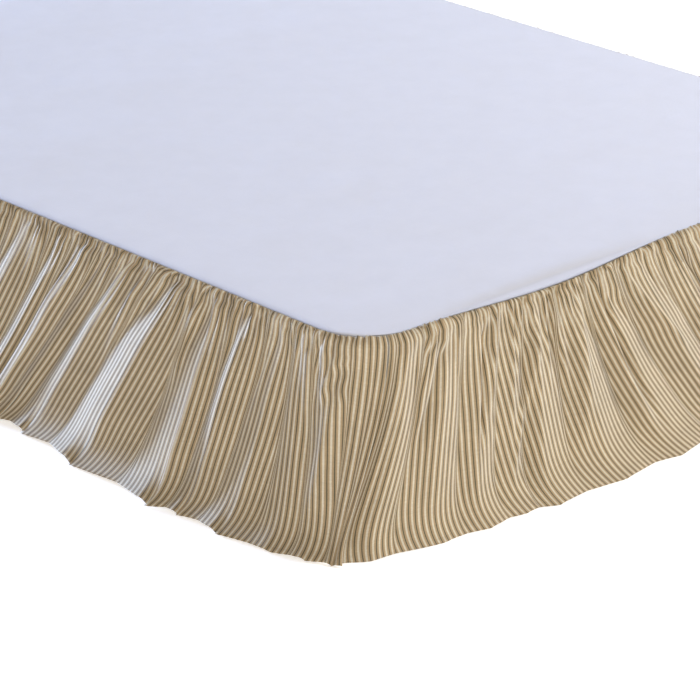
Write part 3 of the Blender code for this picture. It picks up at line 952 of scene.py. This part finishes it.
def slub_group():
    """Slubs and mottling: streaks of thicker thread both ways and flecks, on a cloudy change."""
    sockets = [("Place", "Vector", None), ("Streak", "Float", 1.0), ("Fleck", "Float", 0.5)]
    group, entry, leaving = group_of("Slubs", sockets, [("Shade", "Float")])
    up = noise_node(group, stretch(group, entry["Place"], SLUBS_UP), 1.0, 2.0)
    across = noise_node(group, stretch(group, entry["Place"], SLUBS_ACROSS), 1.0, 2.0)
    cloud = noise_node(group, entry["Place"], CLOUDS, 3.0, 0.6)
    streaks = math_node(group, "SUBTRACT", math_node(group, "ADD", up, across), 1.0)
    streaks = math_node(group, "MULTIPLY", streaks, entry["Streak"])
    flecks = noise_node(group, stretch(group, entry["Place"], FLECKS), 1.0, 1.0)
    flecks = math_node(group, "MULTIPLY", math_node(group, "SUBTRACT", flecks, 0.5), entry["Fleck"])
    shade = math_node(group, "ADD", streaks, math_node(group, "SUBTRACT", cloud, 0.5))
    shade = math_node(group, "ADD", shade, flecks)
    group.links.new(shade, leaving["Shade"])
    return group


def grain_group():
    """Softwood grain along the first of its coordinates: growth bands and fibres."""
    sockets = [("Place", "Vector", None)]
    group, entry, leaving = group_of("Wood grain", sockets, [("Band", "Float"), ("Fibre", "Float")])
    slow = noise_node(group, stretch(group, entry["Place"], GROWTH), 1.0, 2.0)
    rings = math_node(group, "FRACT", math_node(group, "MULTIPLY", slow, GROWTH_BANDS))
    band = math_node(group, "PINGPONG", rings, 0.5)
    fibre = noise_node(group, stretch(group, entry["Place"], FIBRES), 1.0, 3.0, 0.6)
    group.links.new(math_node(group, "MULTIPLY", band, 2.0), leaving["Band"])
    group.links.new(fibre, leaving["Fibre"])
    return group


# Materials.

# What the shade of the slubs, the threads and the fibres runs over, and how light or rough the
# cloths and the wood are made by it.
SHADES = (-0.5, 0.5)
COMMON_SHADES = (-0.45, 0.45)
THREAD_SHADES = (0.2, 0.8)
COMMON_FIBRES = (0.25, 0.75)
TICKING_LIGHT = (0.84, 1.14)
TICKING_THREAD_LIGHT = (0.93, 1.06)
ROUGH_COTTON = (0.78, 0.92)
SMOOTHER_COTTON = (0.80, 0.90)
FIBRE_LIGHT = (0.82, 1.10)
CLEAR_FINISH = (0.42, 0.60)
COOL_SHEEN = (0.80, 0.88, 1.0, 1.0)

# Threads per metre.
TICKING_THREADS = 1500.0
DECK_THREADS = 1900.0
COVER_THREADS = 900.0

# How the stripes waver: waves per metre across and up the cloth, and by how much.
STRIPE_WAVES = (70.0, 22.0, 1.0)
STRIPE_WAVER = 0.0009

# The hem's stitches: how far their line is above the hem's edge, how far off it they fade, the
# length of a stitch and its gap, where the gap ends, how deep it still is, and the stitches' depth.
HEM_STITCH_UP = 0.0125
STITCH_FADES = (0.0003, 0.0009)
STITCH_STEP = 0.0030
STITCH_GAP = (0.08, 0.16)
GAP_DEPTH = 0.3
STITCH_DEPTH = -1.2

# Deck cloth, from its darker to its lighter mottling, and where along its length painted shade makes
# it a little bluer and darker as it rolls over the foot edge, and how much.
DECK_STOPS = ((0.0, (0.625, 0.648, 0.750)), (1.0, (0.675, 0.697, 0.803)))
FOOT_EDGE_SHADE_SPAN = (-1.012, -0.992)
FOOT_EDGE_SHADE_STOPS = ((0.0, (0.86, 0.90, 0.99)), (0.5, (0.97, 1.01, 1.09)), (1.0, (1.0, 1.0, 1.0)))

COVER_STOPS = ((0.0, (0.60, 0.585, 0.55)), (1.0, (0.72, 0.70, 0.66)))
WOOD_STOPS = (
    (0.0, (0.60, 0.42, 0.25)),
    (0.62, (0.54, 0.36, 0.20)),
    (0.9, (0.36, 0.215, 0.110)),
    (1.0, (0.30, 0.175, 0.085)),
)


def ticking_material(weave, slubs):
    """Cotton ticking: cream and tan stripes, each tan one with a dark line down its middle."""
    material, tree, surface = new_material(
        "Ticking", roughness=0.85, Sheen_Weight=0.55, Sheen_Roughness=0.35, Specular_IOR_Level=0.25
    )
    surface.inputs["Sheen Tint"].default_value = COOL_SHEEN
    place = cloth_place(tree)
    parts = split_place(tree, place)
    across, up = parts["X"], parts["Y"]
    waver = noise_node(tree, stretch(tree, place, STRIPE_WAVES), 1.0, 2.0)
    wavering = math_node(tree, "MULTIPLY_ADD", waver, STRIPE_WAVER, across)
    repeat = math_node(tree, "FRACT", math_node(tree, "DIVIDE", wavering, STRIPE_REPEAT))
    stripes = colour_ramp(tree, repeat, STRIPE_BANDS)
    threads = use_group(tree, weave, place, Threads_per_metre=TICKING_THREADS)
    shade = use_group(tree, slubs, place, Streak=0.8, Fleck=1.1)["Shade"]
    light = remap(tree, shade, SHADES, TICKING_LIGHT)
    thread = remap(tree, threads["Thread"], THREAD_SHADES, TICKING_THREAD_LIGHT)
    mottling = grey(tree, math_node(tree, "MULTIPLY", light, thread))
    tree.links.new(multiply_colours(tree, stripes, mottling), surface.inputs["Base Color"])
    tree.links.new(remap(tree, shade, SHADES, ROUGH_COTTON), surface.inputs["Roughness"])
    stitched = hem_stitches(tree, across, up)
    height = math_node(tree, "MULTIPLY_ADD", stitched, STITCH_DEPTH, threads["Height"])
    height = math_node(tree, "ADD", height, shade)
    bump(tree, surface, height, distance=0.00035, strength=0.8)
    return material


def hem_stitches(tree, across, up):
    """1 in the stitches of the hem, a row of short dashes a little above its edge."""
    off = math_node(tree, "ABSOLUTE", math_node(tree, "SUBTRACT", up, HEM_STITCH_UP))
    line = remap(tree, off, STITCH_FADES, (1.0, 0.0))
    step = math_node(tree, "FRACT", math_node(tree, "DIVIDE", across, STITCH_STEP))
    dash = remap(tree, math_node(tree, "PINGPONG", step, 0.5), STITCH_GAP, (GAP_DEPTH, 1.0))
    return math_node(tree, "MULTIPLY", line, dash)


def deck_material(weave, slubs):
    """The deck's plain cotton, pale blue-white and faintly mottled."""
    material, tree, surface = new_material(
        "Deck cotton", roughness=0.85, Sheen_Weight=0.12, Sheen_Roughness=0.45, Specular_IOR_Level=0.25
    )
    place = cloth_place(tree)
    threads = use_group(tree, weave, place, Threads_per_metre=DECK_THREADS)
    shade = use_group(tree, slubs, place, Streak=0.35, Fleck=0.3)["Shade"]
    colour = colour_ramp(tree, remap(tree, shade, COMMON_SHADES), DECK_STOPS)
    # Painted shade: the deck cloth is made bluer and darker where it rolls over the foot edge,
    # standing in for the roll's shade.
    foot_shade_mask = remap(tree, split_place(tree, place)["Y"], FOOT_EDGE_SHADE_SPAN)
    edge = colour_ramp(tree, foot_shade_mask, FOOT_EDGE_SHADE_STOPS)
    tree.links.new(multiply_colours(tree, colour, edge), surface.inputs["Base Color"])
    tree.links.new(remap(tree, shade, SHADES, SMOOTHER_COTTON), surface.inputs["Roughness"])
    height = math_node(tree, "ADD", threads["Height"], shade)
    bump(tree, surface, height, distance=0.00030, strength=0.6)
    return material


def box_cover_material(weave, slubs):
    """The box spring's off-white woven cover."""
    material, tree, surface = new_material(
        "Box spring cover",
        roughness=0.85,
        Sheen_Weight=0.10,
        Sheen_Roughness=0.5,
        Specular_IOR_Level=0.25,
    )
    place = node(tree, "TexCoord").outputs["Object"]
    threads = use_group(tree, weave, place, Threads_per_metre=COVER_THREADS)
    shade = use_group(tree, slubs, place, Streak=0.5, Fleck=0.5)["Shade"]
    colour = colour_ramp(tree, remap(tree, shade, COMMON_SHADES), COVER_STOPS)
    tree.links.new(colour, surface.inputs["Base Color"])
    tree.links.new(remap(tree, shade, SHADES, ROUGH_COTTON), surface.inputs["Roughness"])
    height = math_node(tree, "ADD", threads["Height"], shade)
    bump(tree, surface, height, distance=0.0005, strength=0.7)
    return material


def wood_material(name, grain, turn):
    """Clear-finished softwood, its grain turned to run along a piece."""
    material, tree, surface = new_material(name, roughness=0.5, Specular_IOR_Level=0.4)
    place = node(tree, "TexCoord").outputs["Object"]
    mapping = node(tree, "Mapping")
    mapping.inputs["Rotation"].default_value = turn
    tree.links.new(place, mapping.inputs["Vector"])
    figure = use_group(tree, grain, mapping.outputs["Vector"])
    colour = colour_ramp(tree, figure["Band"], WOOD_STOPS)
    fibre = grey(tree, remap(tree, figure["Fibre"], COMMON_FIBRES, FIBRE_LIGHT))
    tree.links.new(multiply_colours(tree, colour, fibre), surface.inputs["Base Color"])
    rough = remap(tree, figure["Fibre"], THREAD_SHADES, CLEAR_FINISH)
    tree.links.new(rough, surface.inputs["Roughness"])
    bump(tree, surface, figure["Fibre"], distance=0.0004, strength=0.5)
    return material


def dress_frame(cover, grain):
    """Gives the carried-over solids their finish."""
    along_x = wood_material("Bearer wood", grain, (0.0, 0.0, 0.0))
    along_y = wood_material("Rail wood", grain, (0.0, 0.0, math.pi / 2))
    along_z = wood_material("Leg wood", grain, (0.0, math.pi / 2, 0.0))
    finishes = {"box": cover, "bearer": along_x, "rail": along_y, "leg": along_z}
    for name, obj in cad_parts.items():
        finish = finishes.get(name.split("_")[0])
        if finish is None:
            continue
        obj.data.materials.clear()
        obj.data.materials.append(finish)


# Studio.


def build_floor():
    """The plain pale floor, which glows a little so that it stays white under the skirt."""
    bpy.ops.mesh.primitive_plane_add(size=FLOOR_SIZE, location=(0.0, 0.0, 0.0))
    floor = bpy.context.object
    floor.name = "Studio_floor"
    material, _, surface = new_material("Pale floor", roughness=0.9, Specular_IOR_Level=0.1)
    surface.inputs["Base Color"].default_value = FLOOR_WHITE
    surface.inputs["Emission Color"].default_value = GLOW_WHITE
    surface.inputs["Emission Strength"].default_value = FLOOR_GLOW
    floor.data.materials.append(material)


def build_lights():
    world = bpy.data.worlds.new("Studio")
    world.use_nodes = True
    background = world.node_tree.nodes["Background"]
    background.inputs["Color"].default_value = (*WORLD_COLOUR, 1.0)
    background.inputs["Strength"].default_value = WORLD_LIGHT
    bpy.context.scene.world = world
    for box in SOFTBOXES:
        light = bpy.data.lights.new(box.name, "AREA")
        light.shape = "RECTANGLE"
        light.size, light.size_y = box.size
        light.energy = box.power
        light.color = box.colour
        lamp = bpy.data.objects.new(box.name, light)
        lamp.location = box.place
        lamp.visible_camera = False
        facing = Vector(box.aim) - Vector(box.place)
        lamp.rotation_euler = facing.to_track_quat("-Z", "Y").to_euler()
        bpy.context.scene.collection.objects.link(lamp)


def build_camera():
    data = bpy.data.cameras.new("Camera")
    data.sensor_width = CAMERA_SENSOR
    data.lens = CAMERA_LENS
    camera = bpy.data.objects.new("Camera", data)
    camera.location = CAMERA_PLACE
    camera.rotation_euler = (math.pi / 2 - CAMERA_DIP, 0.0, CAMERA_TURN)
    bpy.context.scene.collection.objects.link(camera)
    bpy.context.scene.camera = camera


def main():
    bpy.context.scene.view_settings.view_transform = "Standard"
    build_camera()
    weave = plain_weave_group()
    slubs = slub_group()
    ticking = ticking_material(weave, slubs)
    for ruffle in ruffles():
        piece, flat = build_ruffle(ruffle, ticking)
        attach(piece, "root")
        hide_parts(ruffle.node)
    deck = build_deck(deck_material(weave, slubs))
    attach(deck, "root")
    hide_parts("deck")
    dress_frame(box_cover_material(weave, slubs), grain_group())
    build_floor()
    build_lights()


main()
